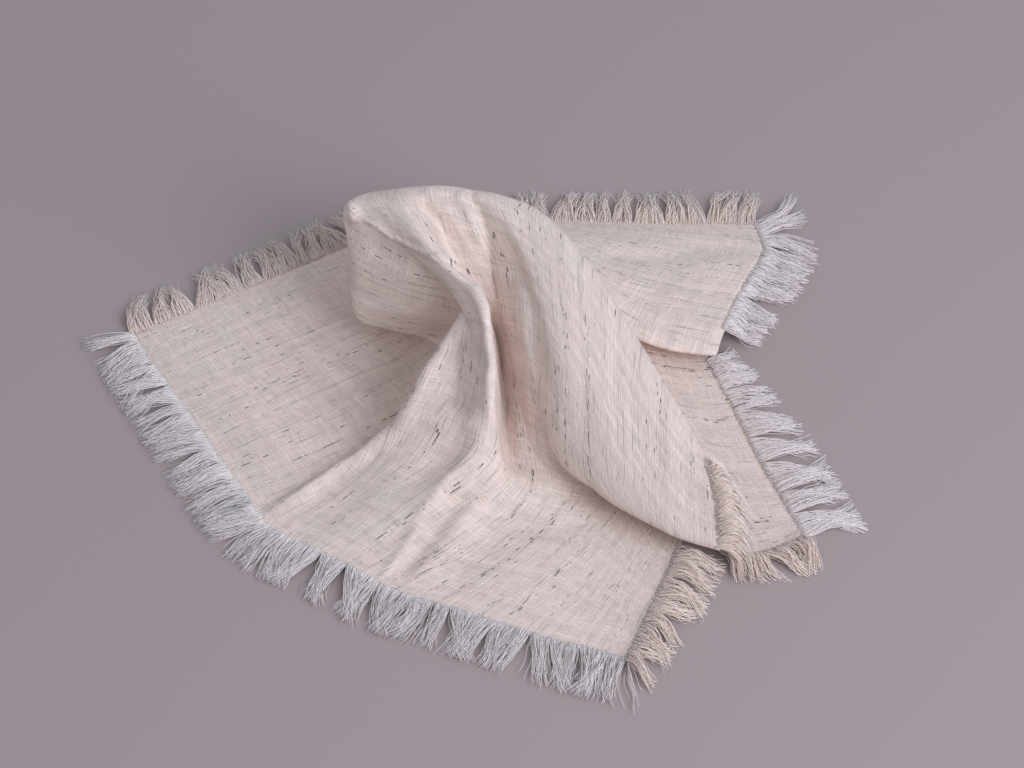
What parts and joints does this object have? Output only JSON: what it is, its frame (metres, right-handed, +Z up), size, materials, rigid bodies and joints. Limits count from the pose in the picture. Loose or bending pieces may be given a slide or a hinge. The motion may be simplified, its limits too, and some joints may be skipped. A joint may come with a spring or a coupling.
{
  "type": "folded cloth napkin",
  "caption": "Square slubby cloth napkin with frayed edges, pinched at its middle and let fall in loose, uneven folds on a flat surface; table dressing or a soft base for small items.",
  "frame": {"origin": "middle of the bounding box's bottom face, on the surface that the napkin lies on", "axes": "+Z up from that surface; +X along the longest extent, to the right in the picture; +Y to its back"},
  "size_m": [0.3344, 0.2947, 0.0731],
  "materials": {
    "cloth": "matt, slubby plain weave with dark flecks",
    "fringe_white": "loose, soft, undyed threads with a cool tint",
    "fringe_beige": "loose, soft threads with a warm tint"
  },
  "bodies": {
    "root": {"cloth": "cloth", "fringe_front_left": "fringe_white", "fringe_right_back": "fringe_white", "fringe_right_front": "fringe_white", "fringe_back": "fringe_beige", "fringe_front_right": "fringe_beige", "fringe_hood": "fringe_beige", "fringe_corner": "fringe_beige"}
  },
  "joints": []
}
